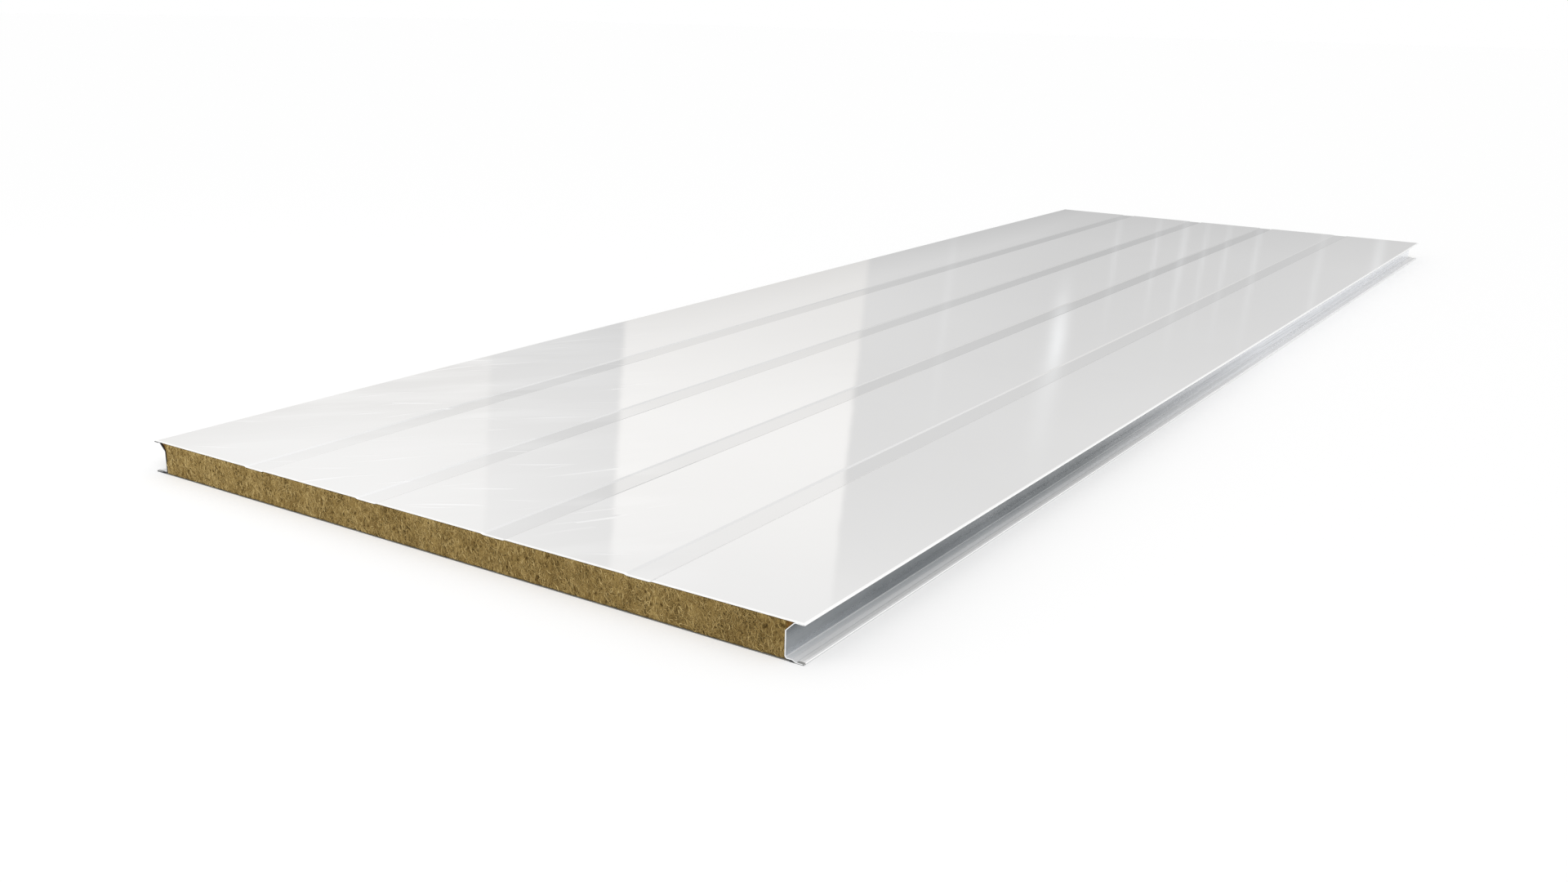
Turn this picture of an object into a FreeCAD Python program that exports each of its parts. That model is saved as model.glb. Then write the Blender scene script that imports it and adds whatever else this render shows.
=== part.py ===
"""Insulated sandwich panel: two steel facings, two roll-formed edge channels and a mineral-wool core.

The panel lies flat.  X runs across its width, Y along its length and Z through its thickness.  The origin
is the centre of the underside.  All sizes are in millimetres.

How it is built:

* The top facing is a flat steel sheet with shallow swages (stiffening grooves) along its whole length.
  The bottom facing is plain.  Both reach past the core on the long sides as lips, and each lip is hemmed:
  folded back on itself round the flange of the edge channel, which it clamps.
* An edge channel closes each long side.  Its upper flange is clamped in the top lip.  Below it come a
  45 degree shoulder, an upright web set back from the lips, a rounded foot and a stepped shelf, whose
  outer part is clamped in the bottom lip.  Lips, shoulder, web and shelf form the joint groove that
  takes the joining profile between two neighbouring panels.
* The core is made of lamellas: strips of mineral wool cut from slabs and stood on edge, so that their
  fibres run from facing to facing.  They lie in rows with staggered butt joints.  A triangular shoulder
  strip of wool fills the space behind each channel's shoulder.
* Both ends are sawn square and open, so the section shows there.
"""

import FreeCAD, Part

import math
import os

# Panel
PANEL_LENGTH = 3600.0
PANEL_WIDTH = 1180.0  # over the hemmed lips
PANEL_THICKNESS = 50.0

# Steel sheet
FACING_GAUGE = 0.6
CHANNEL_GAUGE = 1.0

# Hemmed lips of the facings
LIP_REACH = 25.0  # from the channel's web out to the tip of the lip
HEM_RETURN = 9.0  # folded-back leg, measured in from the tip
SEAM_CLEARANCE = 0.1  # each side of the clamped flange

# Swages of the top facing
SWAGE_COUNT = 4
SWAGE_PITCH = 236.0
SWAGE_WIDTH = 42.0
SWAGE_DEPTH = 1.2
SWAGE_FLANK = 4.0  # width of one sloped side
SWAGE_BEND = 2.0  # bend radius, to the middle of the sheet

# Edge channels
SHOULDER_LEG = 12.0  # height and width of the 45 degree shoulder
SHOULDER_BEND = 2.0
FOOT_BEND = 3.0
SHELF_FLAT = 9.0  # level part of the shelf beside the web
SHELF_STEP_RUN = 5.0
SHELF_STEP_FALL = 2.2
SHELF_BEND = 3.0

# Mineral-wool core
GLUE_LINE = 0.2  # adhesive between wool and steel
LAMELLA_WIDTH = 113.0  # nominal, evened out over the rows
LAMELLA_LENGTH = 1200.0
LAMELLA_STAGGER = 400.0  # shift of the butt joints from row to row
LAMELLA_JOINT = 0.3

# Levels and stations that follow from the sizes above
HALF_WIDTH = PANEL_WIDTH / 2
HEM_BEND = (CHANNEL_GAUGE + FACING_GAUGE) / 2 + SEAM_CLEARANCE
CLAMPED_DEPTH = FACING_GAUGE + SEAM_CLEARANCE + CHANNEL_GAUGE / 2
FLANGE_TIP = HALF_WIDTH - FACING_GAUGE / 2 - HEM_BEND - SEAM_CLEARANCE
WEB_FACE = HALF_WIDTH - LIP_REACH
WEB_MIDDLE = WEB_FACE - CHANNEL_GAUGE / 2
CORE_HALF_WIDTH = WEB_FACE - CHANNEL_GAUGE - GLUE_LINE
CORE_BOTTOM = FACING_GAUGE + GLUE_LINE
CORE_TOP = PANEL_THICKNESS - FACING_GAUGE - GLUE_LINE


def unit(vector):
    """Return the 2-D vector scaled to length one."""
    length = math.hypot(*vector)
    return vector[0] / length, vector[1] / length


def offset_path(path, distance):
    """Shift a bent path sideways and return the shifted path.

    The path is a list of (x, z, bend radius).  A positive distance shifts it to the left of its own
    direction.  Every bend keeps its centre, so its radius grows or shrinks by the distance.
    """
    directions = [unit((b[0] - a[0], b[1] - a[1])) for a, b in zip(path, path[1:])]
    shifted = []
    for index, (x, z, radius) in enumerate(path):
        before = directions[max(index - 1, 0)]
        after = directions[min(index, len(directions) - 1)]
        turn = before[0] * after[1] - before[1] * after[0]
        mitre = distance / (1 + before[0] * after[0] + before[1] * after[1])
        x_shifted = x - mitre * (before[1] + after[1])
        z_shifted = z + mitre * (before[0] + after[0])
        bend = radius - distance if turn > 0 else radius + distance
        shifted.append((x_shifted, z_shifted, bend if radius else 0.0))
    return shifted


def rounded_face(outline):
    """Return the face inside a closed outline of (x, z, corner radius), in the plane Y = 0."""
    count = len(outline)
    arcs = []
    for index, (x, z, radius) in enumerate(outline):
        before = outline[index - 1]
        after = outline[(index + 1) % count]
        back = unit((before[0] - x, before[1] - z))
        ahead = unit((after[0] - x, after[1] - z))
        half_angle = math.acos(max(-1.0, min(1.0, back[0] * ahead[0] + back[1] * ahead[1]))) / 2
        cut = radius / math.tan(half_angle) if radius else 0.0
        start = FreeCAD.Vector(x + back[0] * cut, 0, z + back[1] * cut)
        end = FreeCAD.Vector(x + ahead[0] * cut, 0, z + ahead[1] * cut)
        bisector = unit((back[0] + ahead[0], back[1] + ahead[1])) if radius else (0.0, 0.0)
        reach = radius / math.sin(half_angle) - radius if radius else 0.0
        middle = FreeCAD.Vector(x + bisector[0] * reach, 0, z + bisector[1] * reach)
        arcs.append((start, middle, end, radius))
    edges = []
    for index, (start, middle, end, radius) in enumerate(arcs):
        previous_end = arcs[index - 1][2]
        if previous_end.distanceToPoint(start) > 1e-6:
            edges.append(Part.LineSegment(previous_end, start).toShape())
        if radius:
            edges.append(Part.Arc(start, middle, end).toShape())
    return Part.Face(Part.Wire(edges))


def bent_sheet(path, gauge):
    """Return the section of a sheet of this gauge, bent along its middle line."""
    left = offset_path(path, gauge / 2)
    right = offset_path(path, -gauge / 2)
    return rounded_face(left + right[::-1])


def extruded(face, start, length):
    """Return the solid that the face sweeps along Y, from start over length."""
    solid = face.extrude(FreeCAD.Vector(0, length, 0))
    solid.translate(FreeCAD.Vector(0, start, 0))
    return solid


def mirrored_sideways(path):
    """Return the path reflected to the other long side of the panel."""
    return [(-x, z, radius) for x, z, radius in path]


def swage_centres():
    """Return the X of each swage, spaced evenly about the middle of the panel."""
    return [(index - (SWAGE_COUNT - 1) / 2) * SWAGE_PITCH for index in range(SWAGE_COUNT)]


def swage_path(centre, level):
    """Return one swage as a path: down the first flank, along the bottom, up the second flank."""
    rim = SWAGE_WIDTH / 2
    bottom = rim - SWAGE_FLANK
    return [
        (centre - rim, level, SWAGE_BEND),
        (centre - bottom, level - SWAGE_DEPTH, SWAGE_BEND),
        (centre + bottom, level - SWAGE_DEPTH, SWAGE_BEND),
        (centre + rim, level, SWAGE_BEND),
    ]


def hem_path(level, inward):
    """Return the right-hand hem: the lip's tip and the leg folded back under (or over) the flange.

    The level is the height of the flat sheet's middle line, and inward is the direction, +1 or -1 along
    Z, from there to the inside of the panel.
    """
    tip = HALF_WIDTH - FACING_GAUGE / 2
    leg = level + inward * 2 * HEM_BEND
    return [(tip, level, HEM_BEND), (tip, leg, HEM_BEND), (HALF_WIDTH - HEM_RETURN, leg, 0.0)]


def facing_path(level, inward, centres):
    """Return the middle line of a facing, from the left hem over the swages to the right hem."""
    right_hem = hem_path(level, inward)
    left_hem = mirrored_sideways(right_hem)[::-1]
    swages = [point for centre in centres for point in swage_path(centre, level)]
    return left_hem + swages + right_hem


def top_facing():
    """Return the swaged top facing."""
    path = facing_path(PANEL_THICKNESS - FACING_GAUGE / 2, -1, swage_centres())
    return extruded(bent_sheet(path, FACING_GAUGE), -PANEL_LENGTH / 2, PANEL_LENGTH)


def bottom_facing():
    """Return the plain bottom facing."""
    path = facing_path(FACING_GAUGE / 2, 1, [])
    return extruded(bent_sheet(path, FACING_GAUGE), -PANEL_LENGTH / 2, PANEL_LENGTH)


def channel_path():
    """Return the middle line of the right-hand edge channel, from its upper flange to its shelf."""
    flange = PANEL_THICKNESS - CLAMPED_DEPTH
    shelf = CLAMPED_DEPTH + SHELF_STEP_FALL
    step = WEB_FACE + SHELF_FLAT
    return [
        (FLANGE_TIP, flange, 0.0),
        (WEB_MIDDLE + SHOULDER_LEG, flange, SHOULDER_BEND),
        (WEB_MIDDLE, flange - SHOULDER_LEG, SHOULDER_BEND),
        (WEB_MIDDLE, shelf, FOOT_BEND),
        (step, shelf, SHELF_BEND),
        (step + SHELF_STEP_RUN, CLAMPED_DEPTH, SHELF_BEND),
        (FLANGE_TIP, CLAMPED_DEPTH, 0.0),
    ]


def edge_channel(path):
    """Return the edge channel with this middle line."""
    return extruded(bent_sheet(path, CHANNEL_GAUGE), -PANEL_LENGTH / 2, PANEL_LENGTH)


def strip_stretches(first_length):
    """Return (start, length) of the wool strips of one row, the first of which has the given length."""
    stretches = []
    start = -PANEL_LENGTH / 2
    end = min(start + first_length, PANEL_LENGTH / 2)
    while start < PANEL_LENGTH / 2:
        stretches.append((start, end - start))
        start = end + LAMELLA_JOINT
        end = min(start + LAMELLA_LENGTH, PANEL_LENGTH / 2)
    return stretches


def first_strip_length(row):
    """Return the length of a row's first strip, which shifts its butt joints against the next row."""
    shift = (row * LAMELLA_STAGGER) % LAMELLA_LENGTH
    return LAMELLA_LENGTH - shift


def swage_beds():
    """Return the solids to cut from the core, one under each swage, with room for the adhesive."""
    beds = []
    above = PANEL_THICKNESS + SWAGE_DEPTH
    for centre in swage_centres():
        approach = SWAGE_WIDTH
        level = PANEL_THICKNESS - FACING_GAUGE / 2
        path = [(centre - approach, level, 0.0)] + swage_path(centre, level) + [(centre + approach, level, 0.0)]
        floor = offset_path(path, -(FACING_GAUGE / 2 + GLUE_LINE))
        roof = [(centre + approach, above, 0.0), (centre - approach, above, 0.0)]
        beds.append(extruded(rounded_face(floor + roof), -PANEL_LENGTH / 2, PANEL_LENGTH))
    return beds


def lamella_rows():
    """Return the rows of wool lamellas, each a compound of strips laid end to end."""
    count = max(1, round(2 * CORE_HALF_WIDTH / LAMELLA_WIDTH))
    width = (2 * CORE_HALF_WIDTH - (count - 1) * LAMELLA_JOINT) / count
    beds = swage_beds()
    rows = []
    for row in range(count):
        left = -CORE_HALF_WIDTH + row * (width + LAMELLA_JOINT)
        strips = []
        for start, length in strip_stretches(first_strip_length(row)):
            corner = FreeCAD.Vector(left, start, CORE_BOTTOM)
            block = Part.makeBox(width, length, CORE_TOP - CORE_BOTTOM, corner)
            strips.append(block.cut(beds).Solids[0])
        rows.append(Part.makeCompound(strips))
    return rows


def shoulder_outline():
    """Return the triangle of wool between the outer lamella, the top facing and the right-hand shoulder."""
    inner = CORE_HALF_WIDTH + LAMELLA_JOINT
    flange = PANEL_THICKNESS - CLAMPED_DEPTH
    stand_off = (CHANNEL_GAUGE / 2 + GLUE_LINE) * math.sqrt(2)
    foot = flange - SHOULDER_LEG + stand_off - WEB_MIDDLE  # height of the sloped side at X = 0
    return [(inner, CORE_TOP, 0.0), (inner, inner + foot, 0.0), (CORE_TOP - foot, CORE_TOP, 0.0)]


def shoulder_strip(outline):
    """Return the wool strips behind one channel's shoulder, laid end to end."""
    face = rounded_face(outline)
    stretches = strip_stretches(LAMELLA_LENGTH)
    return Part.makeCompound([extruded(face, start, length) for start, length in stretches])


def build_nodes():
    """Return every piece of the panel by the name of its node."""
    right_channel = channel_path()
    right_shoulder = shoulder_outline()
    nodes = {
        "top_facing": top_facing(),
        "bottom_facing": bottom_facing(),
        "edge_channel_right": edge_channel(right_channel),
        "edge_channel_left": edge_channel(mirrored_sideways(right_channel)),
        "shoulder_strip_right": shoulder_strip(right_shoulder),
        "shoulder_strip_left": shoulder_strip(mirrored_sideways(right_shoulder)),
    }
    for number, row in enumerate(lamella_rows(), start=1):
        nodes[f"lamella_row_{number:02d}"] = row
    return nodes


def main():
    """Build the pieces and write one STEP file for each."""
    os.makedirs("parts", exist_ok=True)
    for name, shape in build_nodes().items():
        shape.exportStep(f"parts/{name}.step")


main()
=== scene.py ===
"""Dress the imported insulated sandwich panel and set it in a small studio.

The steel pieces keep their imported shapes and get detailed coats.  The wool of the core is modelled here:
rough sawn ends with torn edges and pits, and thousands of curled tufts of fibre.
"""

import logging
import math
from dataclasses import dataclass
from enum import Enum
from functools import reduce

import bpy
import numpy as np
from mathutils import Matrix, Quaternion, Vector


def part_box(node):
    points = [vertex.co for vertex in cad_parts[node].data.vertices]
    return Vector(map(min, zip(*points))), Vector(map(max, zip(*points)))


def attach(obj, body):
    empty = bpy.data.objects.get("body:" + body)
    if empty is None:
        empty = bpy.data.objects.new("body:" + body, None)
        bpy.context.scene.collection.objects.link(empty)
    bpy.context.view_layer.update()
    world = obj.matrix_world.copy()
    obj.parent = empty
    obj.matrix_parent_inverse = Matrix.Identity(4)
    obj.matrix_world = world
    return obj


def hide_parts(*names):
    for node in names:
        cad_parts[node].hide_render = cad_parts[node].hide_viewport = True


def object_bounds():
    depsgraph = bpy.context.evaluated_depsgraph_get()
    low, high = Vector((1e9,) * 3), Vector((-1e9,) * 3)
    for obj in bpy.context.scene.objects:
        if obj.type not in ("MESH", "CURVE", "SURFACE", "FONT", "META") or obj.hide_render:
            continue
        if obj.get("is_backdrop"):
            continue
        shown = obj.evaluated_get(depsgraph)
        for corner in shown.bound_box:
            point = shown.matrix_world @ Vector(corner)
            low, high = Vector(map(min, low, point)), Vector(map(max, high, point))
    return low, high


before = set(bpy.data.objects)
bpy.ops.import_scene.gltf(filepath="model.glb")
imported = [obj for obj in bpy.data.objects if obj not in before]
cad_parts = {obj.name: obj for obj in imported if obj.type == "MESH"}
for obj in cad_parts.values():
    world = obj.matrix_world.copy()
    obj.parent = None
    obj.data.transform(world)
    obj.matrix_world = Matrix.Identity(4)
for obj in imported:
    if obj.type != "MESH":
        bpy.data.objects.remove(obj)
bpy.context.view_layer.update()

log = logging.getLogger("panel")
MM = 0.001
ROOT = "root"

Triple = tuple[float, float, float]
Node = bpy.types.Node
Object = bpy.types.Object
Socket = bpy.types.NodeSocket


# Places taken from the frame --------------------------------------------------------------------------


class PanelEnd(Enum):
    """The two sawn ends, by the direction of Y that each one faces."""

    FRONT = -1
    BACK = 1


@dataclass(frozen=True)
class SwageLine:
    """The swages of the top facing, as measures across the panel in metres.

    The wool's bed under a swage is wider than the swage by some room on each side.
    """

    count: int = 4
    pitch: float = 236.0 * MM
    width: float = 42.0 * MM
    flank: float = 4.0 * MM
    depth: float = 1.2 * MM
    room: float = 0.5 * MM

    def centres(self) -> np.ndarray:
        """Return the X of each swage, evenly spaced about the middle."""
        return (np.arange(self.count) - (self.count - 1) / 2) * self.pitch

    def dip(self, across: np.ndarray) -> np.ndarray:
        """Return how far the wool's bed lies below the wool's flat top at X.

        The dip is the depth times the share of the nearest swage's flank that is passed, from none at its
        rim to all at its bottom.

        Args:
            across: X of each place, in metres.

        Returns:
            One dip for each place, in metres.
        """
        distance = np.abs(across[..., None] - self.centres()).min(axis=-1)
        return self.depth * np.clip((self.width / 2 + self.room - distance) / self.flank, 0, 1)


@dataclass(frozen=True)
class PanelSizes:
    """The panel's box and the core's box, read from the frame, in metres."""

    half_width: float
    half_length: float
    thickness: float
    core_half_width: float
    core_bottom: float
    core_top: float
    row_names: tuple[str, ...]
    swages: SwageLine = SwageLine()

    @classmethod
    def read(cls) -> "PanelSizes":
        """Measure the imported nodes.

        Returns:
            The sizes that every new piece is placed by.
        """
        rows = tuple(sorted(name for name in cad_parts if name.startswith("lamella_row")))
        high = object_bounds()[1]
        last_low, last_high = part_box(rows[-1])
        return cls(high.x, high.y, high.z, last_high.x, last_low.z, last_high.z, rows)

    def wool_top(self, across: np.ndarray) -> np.ndarray:
        """Return the height of the wool's top face at X, lower under the swages."""
        return self.core_top - self.swages.dip(across)

    def at_end(self, end: PanelEnd, across: np.ndarray, depth: np.ndarray, height: np.ndarray) -> np.ndarray:
        """Return the points at these places across and up that lie these depths inside an end's plane."""
        return np.stack([across, end.value * (self.half_length - depth), height], axis=-1)


# Meshes from arrays -----------------------------------------------------------------------------------


def mesh_piece(name: str, points: np.ndarray, faces: list[np.ndarray], smooth: bool = True) -> Object:
    """Make an object from arrays of points and faces.

    Args:
        name: The piece's name.
        points: Point places, n by 3, in metres.
        faces: Arrays of point indices, each m by 3 (triangles) or m by 4 (quads).
        smooth: Whether the faces are shaded smooth.

    Returns:
        The new object, linked to the scene.
    """
    mesh = bpy.data.meshes.new(name)
    corners = np.concatenate([block.ravel() for block in faces]).astype(np.int32)
    totals = np.concatenate([np.full(len(block), block.shape[1]) for block in faces])
    starts = np.concatenate([[0], np.cumsum(totals)[:-1]])
    mesh.vertices.add(len(points))
    mesh.vertices.foreach_set("co", np.ascontiguousarray(points, dtype=np.float32).ravel())
    mesh.loops.add(len(corners))
    mesh.loops.foreach_set("vertex_index", corners)
    mesh.polygons.add(len(totals))
    mesh.polygons.foreach_set("loop_start", starts.astype(np.int32))
    mesh.polygons.foreach_set("loop_total", totals.astype(np.int32))
    mesh.polygons.foreach_set("use_smooth", np.full(len(totals), smooth))
    mesh.update(calc_edges=True)
    mesh.validate()
    piece = bpy.data.objects.new(name, mesh)
    bpy.context.scene.collection.objects.link(piece)
    return piece


def grid_quads(rows: int, columns: int) -> np.ndarray:
    """Return the quads of a grid whose points are numbered row by row."""
    corner = (np.arange(rows - 1)[:, None] * columns + np.arange(columns - 1)[None, :]).ravel()
    return np.stack([corner, corner + 1, corner + columns + 1, corner + columns], axis=1)


def grid_rim(rows: int, columns: int) -> np.ndarray:
    """Return the indices of a grid's outer points, in order round its edge."""
    bottom = np.arange(columns)
    right = np.arange(1, rows) * columns + columns - 1
    top = (rows - 1) * columns + np.arange(columns - 2, -1, -1)
    left = np.arange(rows - 2, 0, -1) * columns
    return np.concatenate([bottom, right, top, left])


def closed_between(ends: list[np.ndarray], flip: bool = False) -> tuple[np.ndarray, list[np.ndarray]]:
    """Return the points and faces of a closed solid between two like grids of points.

    Args:
        ends: The front grid and the back grid, each rows by columns by 3.
        flip: Whether to turn the faces over.

    Returns:
        The points, n by 3, and the quads of the front, the back and the sides.
    """
    rows, columns = ends[0].shape[:2]
    count = rows * columns
    rim = grid_rim(rows, columns)
    after = np.roll(rim, -1)
    quads = grid_quads(rows, columns)
    faces = [quads, quads[:, ::-1] + count, np.stack([rim, rim + count, after + count, after], axis=1)]
    points = np.concatenate([end.reshape(-1, 3) for end in ends])
    return points, [block[:, ::-1] if flip else block for block in faces]


def smooth_noise(u: np.ndarray, v: np.ndarray, cell: tuple[float, float], seed: int) -> np.ndarray:
    """Return smooth random values between -1 and 1 over a plane.

    A random value stands at each crossing of a square lattice, and the value between is their blend by
    the weight t * t * (3 - 2 t) along each direction.

    Args:
        u: First coordinate of each place.
        v: Second coordinate of each place.
        cell: Size of one lattice cell along u and v.
        seed: Seed of the random values.

    Returns:
        One value for each place.
    """
    a, b = u / cell[0], v / cell[1]
    i, j = np.floor(a).astype(int), np.floor(b).astype(int)
    s, t = a - i, b - j
    s, t = s * s * (3 - 2 * s), t * t * (3 - 2 * t)
    i, j = i - i.min(), j - j.min()
    table = np.random.default_rng(seed).uniform(-1, 1, (i.max() + 2, j.max() + 2))
    low = table[i, j] * (1 - s) + table[i + 1, j] * s
    high = table[i, j + 1] * (1 - s) + table[i + 1, j + 1] * s
    return low * (1 - t) + high * t


def smoothstep(x: np.ndarray, start: float, end: float) -> np.ndarray:
    """Return 0 below start, 1 above end and the blend t * t * (3 - 2 t) between them."""
    t = np.clip((x - start) / (end - start), 0, 1)
    return t * t * (3 - 2 * t)


# Shader building --------------------------------------------------------------------------------------


class Graph:
    """A node tree with short calls to add and join nodes."""

    def __init__(self, tree: bpy.types.NodeTree) -> None:
        """Keep the tree."""
        self.tree = tree

    def add(self, kind: str, inputs: dict | None = None, **settings: object) -> Node:
        """Add one node.

        Args:
            kind: The node's type, without the leading ShaderNode.
            inputs: Values or output sockets by input name or number.
            settings: Properties of the node itself.

        Returns:
            The new node.
        """
        node = self.tree.nodes.new("ShaderNode" + kind)
        for key, value in settings.items():
            setattr(node, key, value)
        for key, value in (inputs or {}).items():
            self.feed(node.inputs[key], value)
        return node

    def feed(self, socket: Socket, value: object) -> None:
        """Join an output to the socket, or set the socket to a plain value; a colour gets an alpha of 1."""
        if isinstance(value, Socket):
            self.tree.links.new(value, socket)
        else:
            socket.default_value = (*value, 1.0) if socket.type == "RGBA" else value

    def fill(self, node: Node, **values: object) -> None:
        """Feed a node's inputs by name, with spaces written as underscores."""
        for name, value in values.items():
            self.feed(node.inputs[name.replace("_", " ")], value)

    def math(self, operation: str, *values: object) -> Socket:
        """Return the result of a Math node over the values."""
        return self.add("Math", dict(enumerate(values)), operation=operation).outputs[0]

    def fold(self, operation: str, values: tuple[object, ...]) -> Socket:
        """Return the values taken together one after another by a Math operation."""
        return reduce(lambda total, value: self.math(operation, total, value), values)

    def times(self, *values: object) -> Socket:
        """Return the product of the values."""
        return self.fold("MULTIPLY", values)

    def plus(self, *values: object) -> Socket:
        """Return the sum of the values."""
        return self.fold("ADD", values)

    def most(self, *values: object) -> Socket:
        """Return the largest of the values."""
        return self.fold("MAXIMUM", values)

    def vector(self, operation: str, *values: object) -> Socket:
        """Return the result of a Vector Math node over the values."""
        return self.add("VectorMath", dict(enumerate(values)), operation=operation).outputs[0]

    def axes(self, place: Socket) -> tuple[Socket, ...]:
        """Return X, Y and Z of the place."""
        return tuple(self.add("SeparateXYZ", {0: place}).outputs)

    def mix(self, factor: object, low: object, high: object) -> Socket:
        """Return the colour between low and high by the factor."""
        return self.add("Mix", {0: factor, 6: low, 7: high}, data_type="RGBA").outputs[2]

    def layers(self, base: object, *coats: tuple[object, object]) -> Socket:
        """Return the base colour under coats of other colours, each given by its share and its colour."""
        return reduce(lambda under, coat: self.mix(coat[0], under, coat[1]), coats, base)

    def span(self, value: object, start: float, end: float, low: float, high: float) -> Socket:
        """Return the value carried from the range start..end to the range low..high, held at its ends."""
        return self.add("MapRange", {0: value, 1: start, 2: end, 3: low, 4: high}).outputs[0]

    def noise(self, place: object, scale: object, detail: float = 2.0, rough: float = 0.5) -> Socket:
        """Return the value of a noise pattern at the place."""
        inputs = {"Vector": place, "Scale": scale, "Detail": detail, "Roughness": rough}
        return self.add("TexNoise", inputs).outputs["Fac"]

    def stretched(self, place: object, scale: Triple) -> Socket:
        """Return the place with each axis multiplied by its scale."""
        return self.add("Mapping", {"Vector": place, "Scale": scale}).outputs[0]

    def turned(self, place: object, angle: object) -> Socket:
        """Return the place turned about the upright axis by the angle in radians."""
        return self.add("VectorRotate", {"Vector": place, "Angle": angle}, rotation_type="Z_AXIS").outputs[0]

    def ramp(self, value: object, stops: tuple[tuple[float, Triple], ...]) -> Socket:
        """Return the colour at the value on a ramp of (position, colour) stops."""
        node = self.add("ValToRGB", {0: value})
        elements = node.color_ramp.elements
        while len(elements) < len(stops):
            elements.new(0.5)
        for element, (position, colour) in zip(elements, stops):
            element.position = position
            element.color = (*colour, 1.0)
        return node.outputs[0]

    def backdrop_rays(self) -> Socket:
        """Return 1 on camera, glossy and transmission rays, and 0 on all others."""
        path = self.add("LightPath").outputs
        return self.most(path["Is Camera Ray"], path["Is Glossy Ray"], path["Is Transmission Ray"])

    def bump(self, shader: Node, height: Socket, strength: float, distance: float = 1.0) -> None:
        """Bump the shader's surface by the height."""
        node = self.add("Bump", {"Height": height, "Strength": strength, "Distance": distance})
        self.feed(shader.inputs["Normal"], node.outputs[0])


class EffectGroup:
    """A shader node group, built once and placed in many materials.

    Its first input is the place.  The others are plain values, named with what they are by default.
    """

    name = "effect"
    inputs: dict[str, float] = {}

    @classmethod
    def tree(cls) -> bpy.types.NodeTree:
        """Return the group's node tree, made on the first call."""
        found = bpy.data.node_groups.get(cls.name)
        if found:
            return found
        tree = bpy.data.node_groups.new(cls.name, "ShaderNodeTree")
        tree.interface.new_socket("Place", in_out="INPUT", socket_type="NodeSocketVector")
        for name, value in cls.inputs.items():
            socket = tree.interface.new_socket(name, in_out="INPUT", socket_type="NodeSocketFloat")
            socket.default_value = value
        source = tree.nodes.new("NodeGroupInput").outputs
        made = cls.build(Graph(tree), *(source[name] for name in ("Place", *cls.inputs)))
        for name in made:
            tree.interface.new_socket(name, in_out="OUTPUT", socket_type="NodeSocketFloat")
        sink = tree.nodes.new("NodeGroupOutput")
        for name, socket in made.items():
            tree.links.new(socket, sink.inputs[name])
        return tree

    @classmethod
    def build(cls, graph: Graph, place: Socket, *values: Socket) -> dict[str, Socket]:
        """Add the group's nodes.

        Args:
            graph: The group's own graph.
            place: The place that the effect reads.
            values: The group's other inputs, in their order.

        Returns:
            The socket for each output name.
        """
        raise NotImplementedError

    @classmethod
    def place(cls, graph: Graph, place: Socket, **values: object) -> bpy.types.NodeOutputs:
        """Put the group into a material.

        Args:
            graph: The material's graph.
            place: The place that the effect reads.
            values: Input values or sockets by name, with spaces written as underscores.

        Returns:
            The group's outputs, by name.
        """
        node = graph.tree.nodes.new("ShaderNodeGroup")
        node.node_tree = cls.tree()
        graph.fill(node, Place=place, **values)
        return node.outputs


class RollStreaks(EffectGroup):
    """Fine streaks along the length, as the rollers leave them on sheet."""

    name = "roll_streaks"
    inputs = {"Streaks per metre": 400.0}

    @classmethod
    def build(cls, graph: Graph, place: Socket, count: Socket) -> dict[str, Socket]:
        """Stretch two noises along Y: a fine one for streaks and a broad one for soft bands."""
        fine = graph.noise(graph.stretched(place, (1.0, 0.004, 1.0)), count, 3.0, 0.6)
        broad = graph.noise(graph.stretched(place, (1.0, 0.02, 1.0)), 30.0, 2.0)
        return {"Streak": fine, "Broad": broad}


class DustVeil(EffectGroup):
    """A thin uneven veil of dust and handling marks."""

    name = "dust_veil"
    inputs = {"Amount": 0.5}

    @classmethod
    def build(cls, graph: Graph, place: Socket, amount: Socket) -> dict[str, Socket]:
        """Mix a cloudy veil and sparse specks, both scaled by the amount."""
        cloud = graph.span(graph.noise(place, 5.0, 5.0, 0.6), 0.45, 0.75, 0.0, 1.0)
        cells = graph.add("TexVoronoi", {"Vector": place, "Scale": 90.0, "Randomness": 1.0})
        near = graph.span(cells.outputs["Distance"], 0.05, 0.09, 1.0, 0.0)
        few = graph.span(graph.noise(place, 14.0, 1.0), 0.62, 0.68, 0.0, 1.0)
        return {"Veil": graph.times(cloud, amount), "Specks": graph.times(near, few, amount)}


class SheetEdge(EffectGroup):
    """The strips beside the sheared ends and along the hems, as a mask."""

    name = "sheet_edge"
    inputs = {"Half length": 1.8, "Half width": 0.59, "Band": 0.002}

    @classmethod
    def build(cls, graph: Graph, place: Socket, half_length: Socket, half_width: Socket,
              band: Socket) -> dict[str, Socket]:
        """Measure how far each place lies inside the ends and the sides, against the band's width."""
        x, y, _ = graph.axes(place)
        made = {}
        for name, axis, half in (("End", y, half_length), ("Side", x, half_width)):
            inside = graph.math("SUBTRACT", half, graph.math("ABSOLUTE", axis))
            made[name] = graph.span(graph.math("DIVIDE", inside, band), 0.85, 1.1, 1.0, 0.0)
        return made


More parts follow.
